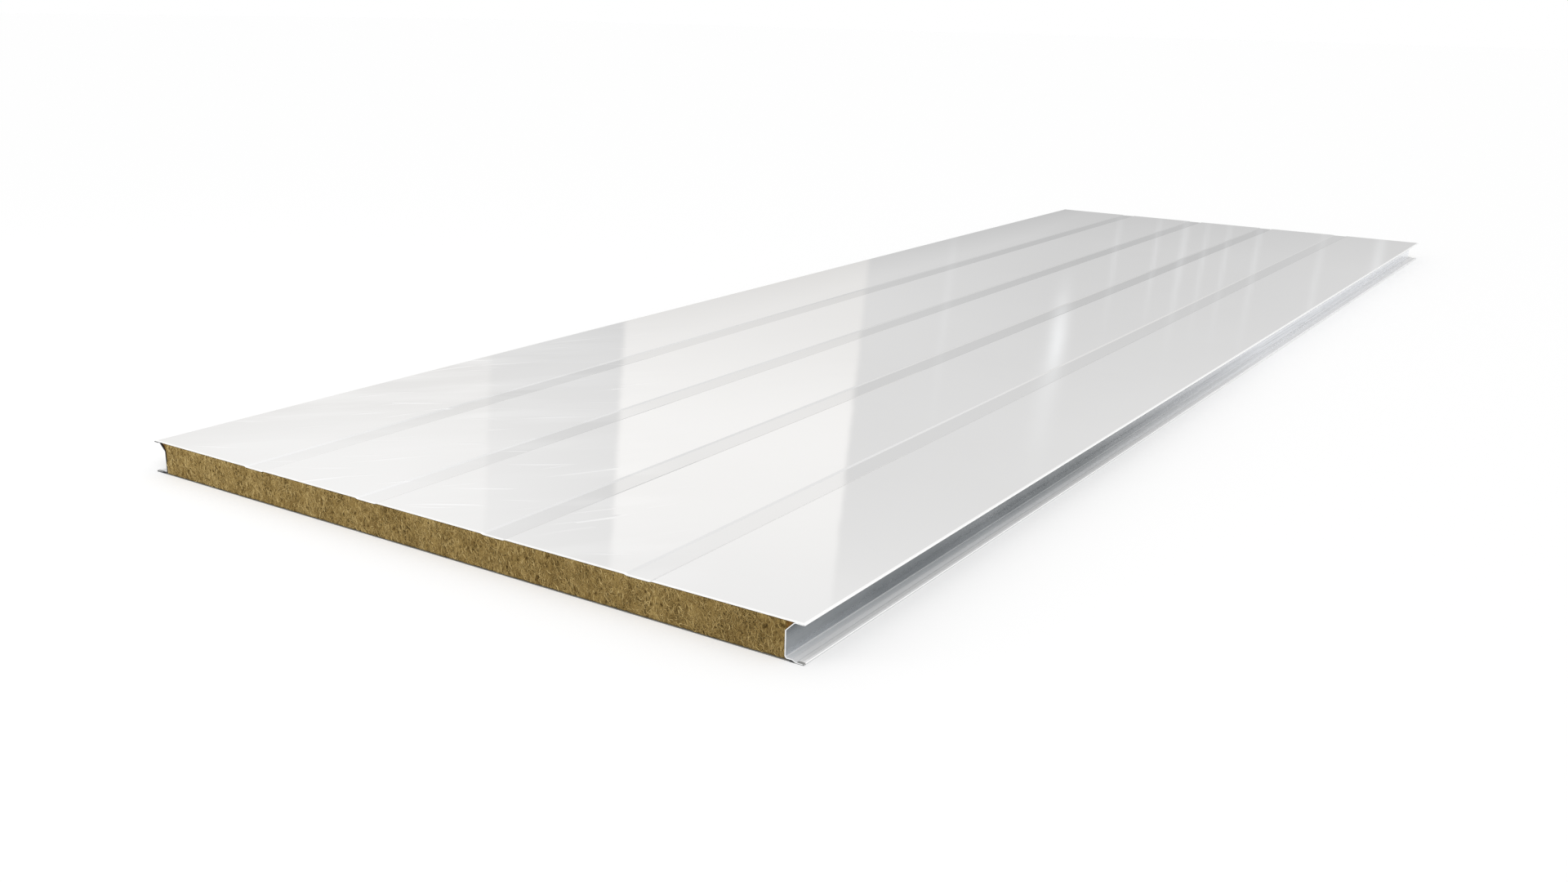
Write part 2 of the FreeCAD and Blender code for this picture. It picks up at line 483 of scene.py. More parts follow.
class ThinCreases(EffectGroup):
    """Sparse, gently bent creases along one heading, one at most in each cell of a random pattern."""

    name = "thin_creases"
    inputs = {"Cells per metre": 8.0, "Half length": 0.035, "Width": 0.0015, "Share": 0.6}

    @classmethod
    def build(cls, graph: Graph, place: Socket, cells: Socket, half: Socket, width: Socket,
              share: Socket) -> dict[str, Socket]:
        """Draw one arc about each cell's middle.

        The place is measured from the cell's middle and turned by the cell's own angle.  The arc is where
        its first axis equals the square of its second times the cell's own bend.  The crease is a bell
        curve of the distance from the arc, and fades towards the arc's ends.

        Args:
            graph: The group's own graph.
            place: The place that the effect reads.
            cells: Cells for each metre.
            half: Half the length of a crease, in metres.
            width: The bell curve's width, in metres.
            share: The share of cells that have a crease.

        Returns:
            The creases' socket, under its output name.
        """
        cell = graph.add("TexVoronoi", {"Vector": place, "Scale": cells, "Randomness": 1.0},
                         voronoi_dimensions="2D")
        local = graph.vector("SUBTRACT", place, cell.outputs["Position"])
        own = graph.add("SeparateColor", {0: cell.outputs["Color"]}).outputs
        x, y, _ = graph.axes(graph.turned(local, graph.span(own[0], 0.0, 1.0, 0.35, 1.05)))
        bend = graph.span(own[1], 0.0, 1.0, -1.5, 1.5)
        ratio = graph.math("DIVIDE", graph.math("SUBTRACT", x, graph.times(y, y, bend)), width)
        bell = graph.math("EXPONENT", graph.times(ratio, ratio, -1.0))
        taper = graph.span(graph.math("DIVIDE", graph.math("ABSOLUTE", y), half), 0.25, 1.0, 1.0, 0.0)
        depth = graph.math("DIVIDE", graph.math("SUBTRACT", share, own[2]), share)
        return {"Crease": graph.times(bell, taper, graph.span(depth, 0.0, 0.6, 0.0, 1.0))}


class FibreGround(EffectGroup):
    """The tangled ground of mineral fibre between the tufts."""

    name = "fibre_ground"

    @classmethod
    def build(cls, graph: Graph, place: Socket) -> dict[str, Socket]:
        """Warp a stretched noise by a slower one, so that its fibres curl, and add broad patches."""
        drift = graph.add("TexNoise", {"Vector": place, "Scale": 160.0, "Detail": 1.0})
        bend = graph.vector("SUBTRACT", drift.outputs["Color"], (0.5, 0.5, 0.5))
        push = graph.add("VectorMath", {0: bend, "Scale": 0.006}, operation="SCALE").outputs[0]
        warped = graph.vector("ADD", place, push)
        fibres = graph.noise(graph.stretched(warped, (1.0, 1.0, 0.22)), 1500.0, 3.0, 0.6)
        patches = graph.noise(graph.stretched(place, (1.0, 1.0, 0.5)), 28.0, 3.0, 0.55)
        return {"Tone": graph.plus(graph.times(fibres, 0.75), graph.times(patches, 0.25)), "Height": fibres}


# Finishes ---------------------------------------------------------------------------------------------


@dataclass(frozen=True)
class Finish:
    """A named finish that makes its own material."""

    name: str

    def material(self) -> bpy.types.Material:
        """Return the finish's material, made on the first call."""
        found = bpy.data.materials.get(self.name)
        if found:
            return found
        material = bpy.data.materials.new(self.name)
        material.use_nodes = True
        material.node_tree.nodes.clear()
        graph = Graph(material.node_tree)
        shader = graph.add("BsdfPrincipled")
        self.shade(graph, shader, graph.add("TexCoord").outputs["Object"])
        graph.add("OutputMaterial", {"Surface": self.surface(graph, shader)})
        return material

    def shade(self, graph: Graph, shader: Node, place: Socket) -> None:
        """Fill the Principled shader's inputs.

        Args:
            graph: The material's graph.
            shader: Its Principled shader.
            place: Object coordinates.
        """
        raise NotImplementedError

    def surface(self, graph: Graph, shader: Node) -> Socket:
        """Return the shader socket for the material output."""
        return shader.outputs[0]


@dataclass(frozen=True)
class CoatedSteel(Finish):
    """Glossy coil-coated steel under its clinging film, with painted highlights on hems and ends, and painted
    shade in swages and under lips.
    """

    colour: Triple = (0.815, 0.812, 0.808)
    # Painted shade colour for the swages, the left side and the back end.
    swage_shade_colour: Triple = (0.610, 0.610, 0.608)
    # Painted highlight colours for the hem strips and the sheared ends; a dark end colour gives painted shade
    # instead.
    edge_highlight_colour: Triple = (0.98, 0.98, 0.975)
    end_highlight_and_shade: Triple = (0.98, 0.98, 0.975)
    # Painted shade colour under the hemmed lips, below seam_top.
    seam_shade_colour: Triple = (0.10, 0.105, 0.11)
    milk_colour: Triple = (0.95, 0.95, 0.95)
    crease_colour: Triple = (0.97, 0.97, 0.97)
    veil_colour: Triple = (0.58, 0.56, 0.53)
    speck_colour: Triple = (0.45, 0.42, 0.38)
    seam_top: float = 48.4 * MM
    seam_inside: float = 570.0 * MM
    roughness: float = 0.03
    edge_band: float = 4.0 * MM
    haze_middle: Triple = (-0.20, -1.80, 0.05)
    film_heading: float = 0.7
    wave_height: float = 0.6 * MM
    crease_height: float = 0.6 * MM
    peel_height: float = 0.003 * MM
    half_length: float = 1.8
    half_width: float = 0.59
    swages: SwageLine = SwageLine()
    swaged: bool = True

    def swage_mask(self, graph: Graph, across: Socket) -> Socket:
        """Return 1 in the swages and 0 elsewhere: bands at an even pitch about the middle."""
        half = self.swages.pitch / 2
        distance = graph.math("PINGPONG", graph.math("SUBTRACT", across, half), half)
        rim = self.swages.width / 2
        band = graph.span(distance, rim + 0.8 * MM, rim - 0.2 * MM, 0.0, 1.0)
        reach = self.swages.pitch * self.swages.count / 2
        return graph.times(band, graph.math("LESS_THAN", graph.math("ABSOLUTE", across), reach))

    def painted_shade(self, graph: Graph, place: Socket) -> Socket:
        """Return the share of painted shade: in the swages, along the left side and near the back end.

        The painted shade in the swages grows along the length, and the right one stays fainter than the
        others.

        Args:
            graph: The material's graph.
            place: Object coordinates.

        Returns:
            The share of the swages' painted shade colour.
        """
        x, y, _ = graph.axes(place)
        grown = graph.plus(graph.span(y, 0.02 - self.half_length, 0.25 - self.half_length, 0.35, 0.55),
                           graph.span(y, -0.7, 0.9, 0.0, 0.45))
        swage = graph.times(self.swage_mask(graph, x), graph.times(grown, graph.span(x, 0.2, 0.3, 1.0, 0.55)))
        left = graph.times(graph.span(x, -0.60, -0.42, 1.0, 0.0), graph.span(y, -1.4, 0.9, 0.1, 0.75))
        return graph.most(swage, graph.most(left, graph.span(y, 1.1, 1.8, 0.0, 0.35)))

    def loose_film(self, graph: Graph, place: Socket) -> Socket:
        """Return how loosely the film lies: fully at the front left corner, and less away from it."""
        x, y, _ = graph.axes(place)
        wander = graph.times(graph.noise(place, 3.0, 2.0), 0.5)
        return graph.span(graph.plus(graph.times(x, 1.1), y, wander), -1.60, -0.95, 1.0, 0.0)

    def milk(self, graph: Graph, place: Socket) -> Socket:
        """Return how milky the film is: in drawn-out clouds, and in a haze round its middle."""
        drawn = graph.stretched(graph.turned(place, self.film_heading), (11.0, 2.4, 1.0))
        clouds = graph.span(graph.noise(drawn, 1.0, 3.0, 0.55), 0.42, 0.66, 0.0, 0.60)
        away = graph.add("VectorMath", {0: place, 1: self.haze_middle}, operation="DISTANCE").outputs["Value"]
        haze = graph.span(graph.plus(away, graph.times(clouds, -0.15)), 0.10, 0.50, 0.65, 0.0)
        return graph.most(clouds, haze)

    def seam_shade_mask(self, graph: Graph, place: Socket) -> Socket:
        """Return the share of painted shade under the hemmed lips, and 0 elsewhere."""
        x, _, z = graph.axes(place)
        low = graph.span(z, self.seam_top - 0.2 * MM, self.seam_top + 0.2 * MM, 0.85, 0.0)
        return graph.times(low, graph.math("GREATER_THAN", graph.math("ABSOLUTE", x), self.seam_inside))

    def creases(self, graph: Graph, place: Socket) -> Socket:
        """Return the creases of the film: long ones and shorter ones between them."""
        large = ThinCreases.place(graph, place, Cells_per_metre=7.0, Half_length=0.065, Width=0.0032,
                                  Share=0.7)
        small = ThinCreases.place(graph, graph.vector("ADD", place, (3.1, 1.7, 0.0)), Cells_per_metre=13.0,
                                  Half_length=0.034, Width=0.0020, Share=0.6)
        return graph.most(large[0], graph.times(small[0], 0.7))

    def shade(self, graph: Graph, shader: Node, place: Socket) -> None:
        """Paint shade into the swages, the margins and under the lips, paint highlights on the hems and ends,
        crease and cloud the film, dust it, and ripple the sheet.

        Args:
            graph: The material's graph.
            shader: Its Principled shader.
            place: Object coordinates.
        """
        dust = DustVeil.place(graph, place, Amount=0.5)
        streaks = RollStreaks.place(graph, place, Streaks_per_metre=260.0)
        edge = SheetEdge.place(graph, place, Half_length=self.half_length, Half_width=self.half_width,
                               Band=self.edge_band)
        loose = self.loose_film(graph, place)
        creases = graph.times(self.creases(graph, place), loose)
        base = self.colour
        # Painted shade in the swages, along the left side and towards the back end.
        if self.swaged:
            base = graph.mix(self.painted_shade(graph, place), base, self.swage_shade_colour)
        base = graph.layers(base,
                            (graph.times(self.milk(graph, place), loose), self.milk_colour),
                            (graph.times(dust["Veil"], 0.08), self.veil_colour),
                            (graph.times(dust["Specks"], 0.30), self.speck_colour),
                            (creases, self.crease_colour),
                            # Painted highlight along the side hems and the sheared ends, painted shade where
                            # the end colour is dark.
                            (edge["Side"], self.edge_highlight_colour),
                            (edge["End"], self.end_highlight_and_shade),
                            # Painted shade under the hemmed lips.
                            (self.seam_shade_mask(graph, place), self.seam_shade_colour))
        wear_and_shade = graph.times(graph.most(edge["End"], edge["Side"]), 0.25)
        line = graph.span(streaks["Streak"], 0.35, 0.75, 0.0, 0.012)
        rough = graph.plus(graph.times(dust["Veil"], 0.03), line, graph.plus(wear_and_shade, self.roughness))
        graph.fill(shader, Base_Color=base, Roughness=rough, IOR=1.5)
        wave = graph.noise(graph.stretched(place, (1.0, 0.35, 1.0)), 5.0, 2.0)
        peel = graph.noise(place, 700.0, 1.0)
        height = graph.plus(graph.times(wave, self.wave_height), graph.times(peel, self.peel_height),
                            graph.times(creases, self.crease_height))
        graph.bump(shader, height, 0.6)


@dataclass(frozen=True)
class GalvanisedSteel(Finish):
    """Galvanised sheet: a blue-grey web painted darker as shade and darkest under the lip, a shelf painted
    lighter as lit, and painted light on the cut ends.

    Towards the back of the length a painted reflection brightens the zinc.
    """

    # The web's colours are painted darker as shade and the shelf's lighter as lit.
    shaded_web_light: Triple = (0.28, 0.305, 0.325)
    shaded_web_dark: Triple = (0.15, 0.17, 0.185)
    lit_shelf_light: Triple = (0.93, 0.93, 0.935)
    lit_shelf_dark: Triple = (0.82, 0.825, 0.83)
    lip_shade_colour: Triple = (0.055, 0.065, 0.072)
    # Painted light colour for the lower web near the front end.
    front_end_light_colour: Triple = (0.60, 0.63, 0.66)
    # Painted reflection colour of the zinc towards the back.
    back_reflection_colour: Triple = (0.92, 0.94, 0.98)
    bloom_colour: Triple = (0.66, 0.68, 0.70)
    # Painted highlight colour for the cut ends; a dark one gives painted shade.
    end_highlight_and_shade: Triple = (0.93, 0.94, 0.95)
    roughness: float = 0.20
    relief: float = 0.03 * MM
    shelf_top: float = 4.6 * MM
    web_face: float = 565.0 * MM
    shelf_tip: float = 582.0 * MM
    edge_band: float = 1.0 * MM
    half_length: float = 1.8

    def web(self, graph: Graph, place: Socket, tone: Socket, back_reflection: Socket) -> Socket:
        """Return the web's colour: painted shade towards the lip, painted light near the front end, a painted
        reflection at the back.
        """
        _, y, z = graph.axes(place)
        # Painted shade on the web under the lip.
        under = graph.plus(graph.span(z, 0.010, 0.036, 0.0, 0.65), graph.span(z, 0.0375, 0.0385, 0.0, 0.25))
        # Painted light on the lower web near the front end.
        front_end_light = graph.times(graph.span(y, -self.half_length, -1.60, 0.60, 0.0),
                             graph.span(z, 0.008, 0.036, 1.0, 0.0))
        bare = graph.mix(tone, self.shaded_web_dark, self.shaded_web_light)
        return graph.layers(bare, (under, self.lip_shade_colour), (front_end_light, self.front_end_light_colour), (back_reflection, self.back_reflection_colour))

    def shelf(self, graph: Graph, place: Socket, tone: Socket, back_reflection: Socket) -> Socket:
        """Return the shelf's colour, with painted shade towards the foot of the web."""
        x, y, _ = graph.axes(place)
        # Painted shade on the shelf towards the foot of the web.
        wear_and_shade = graph.times(graph.span(graph.math("ABSOLUTE", x), self.web_face, self.shelf_tip, 0.75, 0.0),
                           graph.span(back_reflection, 0.0, 0.9, 1.0, 0.25), graph.span(y, -1.75, -1.30, 0.30, 1.0))
        return graph.mix(wear_and_shade, graph.mix(tone, self.lit_shelf_dark, self.lit_shelf_light), self.shaded_web_light)

    def shade(self, graph: Graph, shader: Node, place: Socket) -> None:
        """Vary colour and roughness by streaks and spangle, paint the shelf lighter as lit, and paint light
        on the cut ends.

        Args:
            graph: The material's graph.
            shader: Its Principled shader.
            place: Object coordinates.
        """
        streaks = RollStreaks.place(graph, place, Streaks_per_metre=900.0)
        dust = DustVeil.place(graph, place, Amount=0.6)
        edge = SheetEdge.place(graph, place, Half_length=self.half_length, Half_width=1.0,
                               Band=self.edge_band)
        spangle = graph.add("TexVoronoi", {"Vector": graph.stretched(place, (1.0, 0.5, 1.0)), "Scale": 260.0})
        grain = graph.times(spangle.outputs["Color"], 0.08)
        _, y, z = graph.axes(place)
        line = graph.math("SUBTRACT", graph.span(streaks["Streak"], 0.30, 0.70, 0.0, 1.0), 0.5)
        tone = graph.plus(graph.times(line, graph.span(y, -self.half_length, 0.0, 0.35, 1.0)), 0.45, grain)
        # Painted reflection that brightens the zinc towards the back.
        back_reflection = graph.times(graph.span(y, -0.9, 0.1, 0.0, 0.95), graph.span(tone, 0.1, 0.5, 0.70, 1.0))
        low = graph.span(z, self.shelf_top + 0.6 * MM, self.shelf_top - 0.4 * MM, 0.0, 1.0)
        # Painted shade on the web and painted light on the shelf.
        base = graph.mix(low, self.web(graph, place, tone, back_reflection), self.shelf(graph, place, tone, back_reflection))
        bloom = graph.times(dust["Veil"], 0.30)
        # Painted light on the cut ends.
        base = graph.layers(base, (bloom, self.bloom_colour), (edge["End"], self.end_highlight_and_shade))
        dull = graph.most(graph.times(bloom, 2.0), low, back_reflection)
        rough = graph.span(streaks["Broad"], 0.3, 0.7, self.roughness - 0.06, self.roughness + 0.10)
        graph.fill(shader, Base_Color=base, Metallic=graph.span(dull, 0.0, 1.0, 0.80, 0.20), Coat_Weight=0.6,
                   Coat_Roughness=0.12, Roughness=graph.plus(rough, graph.times(grain, 0.25)))
        graph.bump(shader, graph.times(streaks["Streak"], self.relief), 0.7)


@dataclass(frozen=True)
class WoolGround(Finish):
    """The body of the mineral wool, seen between the tufts."""

    shade_colour: Triple = (0.120, 0.072, 0.020)
    body_colour: Triple = (0.310, 0.212, 0.070)
    straw_colour: Triple = (0.46, 0.34, 0.135)
    fibre_height: float = 0.8 * MM

    def shade(self, graph: Graph, shader: Node, place: Socket) -> None:
        """Colour the ground by its tangled tone and roughen it by the same fibres."""
        ground = FibreGround.place(graph, place)
        stops = ((0.34, self.shade_colour), (0.52, self.body_colour), (0.68, self.straw_colour))
        graph.fill(shader, Base_Color=graph.ramp(ground["Tone"], stops), Roughness=0.95,
                   Specular_IOR_Level=0.2)
        graph.bump(shader, graph.times(ground["Height"], self.fibre_height), 0.9)


@dataclass(frozen=True)
class WoolTuft(Finish):
    """Single tufts of fibre, each with its own tone from dark resin brown to pale straw.

    The tufts are painted a little darker towards the right, as painted shade.
    """

    dark: Triple = (0.170, 0.105, 0.028)
    body: Triple = (0.350, 0.243, 0.086)
    straw: Triple = (0.600, 0.460, 0.205)

    def shade(self, graph: Graph, shader: Node, place: Socket) -> None:
        """Take the tone from the tuft's own value, which carries painted shade in the pits, varied by broad
        patches and fine fibres, and painted darker towards the right as shade.

        Args:
            graph: The material's graph.
            shader: Its Principled shader.
            place: Object coordinates.
        """
        own = graph.add("Attribute", attribute_name="tone").outputs["Fac"]
        patch = graph.noise(graph.stretched(place, (1.0, 1.0, 0.5)), 28.0, 3.0, 0.55)
        fine = graph.noise(place, 1800.0, 2.0)
        # Painted shade: the tone is darker towards the right.
        tone = graph.plus(own, graph.span(patch, 0.3, 0.7, -0.10, 0.10),
                          graph.span(graph.axes(place)[0], -0.56, 0.56, 0.03, -0.06),
                          graph.span(fine, 0.3, 0.7, -0.08, 0.08))
        stops = ((0.05, self.dark), (0.50, self.body), (0.95, self.straw))
        graph.fill(shader, Base_Color=graph.ramp(tone, stops), Roughness=0.85, Specular_IOR_Level=0.25)
        graph.bump(shader, fine, 0.5, 0.2 * MM)


# The core ---------------------------------------------------------------------------------------------


@dataclass
class SawnWool:
    """The sawn ends of the core: how deep each place lies behind the plane of the cut."""

    sizes: PanelSizes
    setback: float = 0.9 * MM
    roughness: float = 0.55 * MM
    lumps: tuple[Triple, ...] = (
        (2.2 * MM, 5.0 * MM, 1.0), (1.1 * MM, 2.0 * MM, 0.7), (14.0 * MM, 22.0 * MM, 0.9))
    torn_edge: float = 1.3 * MM
    torn_width: float = 2.6 * MM
    least_depth: float = 0.1 * MM
    pit_depth: float = 4.5 * MM
    pit_width: tuple[float, float] = (0.7, 1.6)
    pit_height: float = 1.4
    pit_margin: float = 5 * MM
    pit_count: int = 90

    def depth(self, across: np.ndarray, height: np.ndarray, end: PanelEnd) -> np.ndarray:
        """Return how far the wool lies inside the end's plane.

        The depth is a setback, plus smooth noise in lumps of three sizes (width, height and share), plus the
        torn strip along the facings, plus bell-shaped pits at seeded random places.

        Args:
            across: X of each place, in metres.
            height: Z of each place, in metres.
            end: Which end is meant.

        Returns:
            Depths in metres.
        """
        rough = sum(share * smooth_noise(across, height, (wide, tall), self.seed(end) + index)
                    for index, (wide, tall, share) in enumerate(self.lumps))
        edge = np.minimum(height - self.sizes.core_bottom, self.sizes.wool_top(across) - height)
        torn = self.torn_edge * (1 - smoothstep(edge, 0.0, self.torn_width))
        depth = self.setback + self.roughness * rough + torn + self.pits(across, height, end)
        return np.maximum(depth, self.least_depth)

    @staticmethod
    def seed(end: PanelEnd) -> int:
        """Return the seed of an end's random shapes."""
        return 11 if end is PanelEnd.FRONT else 23

    def pits(self, across: np.ndarray, height: np.ndarray, end: PanelEnd) -> np.ndarray:
        """Return the depth of the pits, each a bell-shaped hole that is deeper than it is wide.

        A pit is its depth times e to the minus square of the distance from its middle in pit widths, and
        it is taller than wide.

        Args:
            across: X of each place, in metres.
            height: Z of each place, in metres.
            end: Which end is meant.

        Returns:
            Depths in metres.
        """
        rng = np.random.default_rng(self.seed(end) + 3)
        lowest = (-self.sizes.core_half_width, self.sizes.core_bottom + self.pit_margin)
        highest = (self.sizes.core_half_width, self.sizes.core_top - self.pit_margin)
        places = rng.uniform(lowest, highest, (self.pit_count, 2))
        widths = rng.uniform(*self.pit_width, self.pit_count) * MM
        total = np.zeros_like(across)
        for (x, z), width in zip(places, widths):
            square = ((across - x) / width) ** 2 + ((height - z) / (width * self.pit_height)) ** 2
            total += self.pit_depth * np.exp(-square)
        return total


def wool_piece(name: str, points: np.ndarray, faces: list[np.ndarray], finish: Finish,
               node: str = "") -> Object:
    """Make a piece of wool that rides on the panel.

    Args:
        name: The piece's name.
        points: Point places, n by 3, in metres.
        faces: Arrays of point indices, one for each kind of face.
        finish: The wool's finish.
        node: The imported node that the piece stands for, if any.

    Returns:
        The new piece.
    """
    piece = mesh_piece(name, points, faces)
    piece.data.materials.append(finish.material())
    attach(piece, ROOT)
    if node:
        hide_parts(node)
    return piece


@dataclass
class WoolRows:
    """The rows of lamellas, as closed blocks with rough ends."""

    sizes: PanelSizes
    sawn: SawnWool
    finish: WoolGround
    step: float = 1.2 * MM
    inset: float = 0.05 * MM

    def build(self) -> list[Object]:
        """Make each row's block in place of its plain solid and return the pieces."""
        return [self.block(name) for name in self.sizes.row_names]

    def block(self, name: str) -> Object:
        """Make one row: a grid over each sawn end, joined round their rims by the long sides.

        A point of the grid is at a share of the way across and a share of the way from the row's bottom to
        its top face, which dips under the swages.

        Args:
            name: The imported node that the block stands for.

        Returns:
            The new piece.
        """
        low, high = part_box(name)
        columns = int(round((high.x - low.x) / self.step)) + 1
        rows = int(round((high.z - low.z) / self.step)) + 1
        x = np.linspace(low.x + self.inset, high.x - self.inset, columns)
        across, share = np.meshgrid(x, np.linspace(0, 1, rows))
        floor = low.z + self.inset
        height = floor + (self.sizes.wool_top(across) - self.inset - floor) * share
        ends = [self.sizes.at_end(end, across, self.sawn.depth(across, height, end), height)
                for end in PanelEnd]
        return wool_piece("wool_" + name, *closed_between(ends), self.finish, name)


@dataclass
class ShoulderStrips:
    """The triangular strips of wool behind the shoulders of the channels."""

    sizes: PanelSizes
    finish: WoolGround
    recess: float = 2.4 * MM
    roughness: float = 0.5 * MM
    lump: tuple[float, float] = (1.5 * MM, 2.5 * MM)
    seed: int = 31
    cells: int = 10
    lowest: float = 0.97

    def build(self) -> list[Object]:
        """Make both strips and return the pieces."""
        return [self.strip("shoulder_strip_left"), self.strip("shoulder_strip_right")]

    def strip(self, name: str) -> Object:
        """Make one strip: a triangle of points at each end, joined round their rims.

        A point of the triangle is at s along the top side and t down the upright side, with s + t at most
        one, which the grid gets by shortening each row as t grows.

        Args:
            name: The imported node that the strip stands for.

        Returns:
            The new piece.
        """
        low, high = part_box(name)
        outward = 1.0 if high.x > 0 else -1.0
        inner = low.x if outward > 0 else high.x
        t, s = np.meshgrid(np.linspace(0, self.lowest, self.cells), np.linspace(0, 1, self.cells),
                           indexing="ij")
        across = inner + outward * (high.x - low.x) * s * (1 - t)
        height = high.z - (high.z - low.z) * t
        ends = []
        for end in PanelEnd:
            rough = smooth_noise(across, height, self.lump, self.seed + end.value)
            ends.append(self.sizes.at_end(end, across, self.recess + self.roughness * rough, height))
        return wool_piece("wool_" + name, *closed_between(ends, flip=outward > 0), self.finish, name)


@dataclass
class TuftField:
    """Curled tufts of fibre that stand on a sawn end."""

    sizes: PanelSizes
    sawn: SawnWool
    finish: WoolTuft
    count: int = 4800
    rings: int = 6
    sides: int = 3
    length: tuple[float, float] = (6.0 * MM, 18.0 * MM)
    radius: tuple[float, float] = (0.28 * MM, 0.95 * MM)
    lift: tuple[float, float] = (0.2 * MM, 1.0 * MM)
    root_depth: float = 0.25 * MM
    lean: float = 0.65
    curl: float = 2.4
    blunt: float = 0.05
    tone: tuple[float, float] = (0.5, 0.19)
    pit_shadow: float = 1.2
    margin: float = 1.2 * MM
    seed: int = 100

    def build(self) -> list[Object]:
        """Cover both halves of both ends and return the pieces."""
        return [self.field(end, side, half)
                for end in PanelEnd for half, side in enumerate(("left", "right"))]

    def centre_lines(self, rng: np.random.Generator, low: float,
                     high: float) -> tuple[np.ndarray, np.ndarray]:
        """Return X and Z of the tufts' middle lines, count by rings + 2.

        A tuft starts at a random place with a heading that leans about the upright.  Its heading turns
        evenly along its length, so it is part of a circle, and its points are the running sum of steps
        along the heading.

        Args:
            rng: The random source.
            low: Lowest X of the field.
            high: Highest X of the field.

        Returns:
            The X values and the Z values.
        """
        floor = self.sizes.core_bottom + self.margin
        start_x = rng.uniform(low, high, self.count)
        start_z = rng.uniform(floor, self.sizes.core_top - self.margin, self.count)
        heading = rng.normal(math.pi / 2, self.lean, self.count)
        turn = rng.normal(0, self.curl, self.count)
        length = rng.uniform(*self.length, self.count)
        steps = self.rings + 1
        angle = heading[:, None] + turn[:, None] * np.linspace(-0.5, 0.5, steps)[None, :]
        step = length[:, None] / steps
        start = np.zeros((self.count, 1))
        x = np.concatenate([start, np.cumsum(np.cos(angle) * step, axis=1)], axis=1)
        z = np.concatenate([start, np.cumsum(np.sin(angle) * step, axis=1)], axis=1)
        x += start_x[:, None] - x.mean(axis=1, keepdims=True)
        z += start_z[:, None] - z.mean(axis=1, keepdims=True)
        limit = self.sizes.core_half_width - self.margin
        x = np.clip(x, -limit, limit)
        return x, np.clip(z, floor, self.sizes.wool_top(x) - self.margin)

    def tubes(self, middle: np.ndarray, radius: np.ndarray, end: PanelEnd) -> np.ndarray:
        """Return the points of the tufts' tubes.

        A ring stands square to the middle line at each of its inner points: each ring point is the middle
        plus the radius times the cosine of its angle sideways and its sine outward from the wool.  The
        line's own two ends follow the rings.

        Args:
            middle: The middle lines, count by rings + 2 by 3.
            radius: The tube's radius at each of their points.
            end: The end that the tufts stand on.

        Returns:
            The points of every tuft, one tuft after another, n by 3.
        """
        along = np.gradient(middle, axis=1)
        along /= np.linalg.norm(along, axis=2, keepdims=True) + 1e-12
        sideways = np.cross(along, np.array([0.0, float(end.value), 0.0]))
        sideways /= np.linalg.norm(sideways, axis=2, keepdims=True) + 1e-12
        upward = np.cross(sideways, along)
        body = slice(1, self.rings + 1)
        turn = (np.arange(self.sides) * 2 * math.pi / self.sides + math.pi / 2)[None, None, :, None]
        reach = radius[:, body, None, None]
        ring = (middle[:, body, None, :] + reach * np.cos(turn) * sideways[:, body, None, :]
                + reach * np.sin(turn) * upward[:, body, None, :])
        shell = np.concatenate([ring.reshape(self.count, -1, 3), middle[:, :1], middle[:, -1:]], axis=1)
        return shell.reshape(-1, 3)

    def field(self, end: PanelEnd, side: str, half: int) -> Object:
        """Make the tufts of one half of one end.

        Each tuft is a three-sided tube along its middle line, which arches off the wool by lift times the
        sine of half a turn along it.  The tube's radius is its largest times the root of that sine, and
        it closes to a point at both ends.  A tuft's tone is its own, with painted shade darkening it in the
        pits.

        Args:
            end: The end that the tufts stand on.
            side: Name of the half.
            half: 0 for the left half, 1 for the right half.

        Returns:
            The new piece.
        """
        rng = np.random.default_rng(self.seed + 10 * half + end.value)
        reach = self.sizes.core_half_width - self.margin
        x, z = self.centre_lines(rng, *((-reach, 0.0) if half == 0 else (0.0, reach)))
        arch = np.sin(np.linspace(0, math.pi, self.rings + 2))[None, :]
        lift = rng.uniform(*self.lift, self.count)[:, None] * arch
        depth = self.sawn.depth(x, z, end) + self.root_depth * (1 - arch) - lift
        radius = rng.uniform(*self.radius, self.count)[:, None] * np.sqrt(arch + self.blunt)
        points = self.tubes(self.sizes.at_end(end, x, depth, z), radius, end)
        first = (np.arange(self.count) * (self.rings * self.sides + 2))[:, None, None]
        faces = [(block[None] + first).reshape(-1, block.shape[1]) for block in self.tuft_faces()]
        piece = wool_piece(f"wool_tufts_{end.name.lower()}_{side}", points, faces, self.finish)
        own = np.clip(rng.normal(*self.tone, self.count), 0, 1)[:, None]
        # Painted shade: tufts in the pits are darker.
        dark = self.pit_shadow * self.sawn.pits(x, z, end) / self.sawn.pit_depth
        dark = np.concatenate([np.repeat(dark[:, 1:-1], self.sides, axis=1), dark[:, [0, -1]]], axis=1)
        attribute = piece.data.attributes.new("tone", "FLOAT", "POINT")
        attribute.data.foreach_set("value", np.clip(own - dark, 0, 1).ravel().astype(np.float32))
        return piece

    def tuft_faces(self) -> list[np.ndarray]:
        """Return the quads along one tuft and the triangles that close its two ends."""
        here = np.arange(self.sides)
        there = np.roll(here, -1)
        ring = (np.arange(self.rings - 1) * self.sides)[:, None]
        above = ring + self.sides
        quads = np.stack([ring + here, above + here, above + there, ring + there], axis=2)
        top = (self.rings - 1) * self.sides
        first = np.full(self.sides, self.rings * self.sides)
        start = np.stack([first, here, there], axis=1)
        end = np.stack([first + 1, top + there, top + here], axis=1)
        return [quads.reshape(-1, 4), np.concatenate([start, end])]


# The steel --------------------------------------------------------------------------------------------


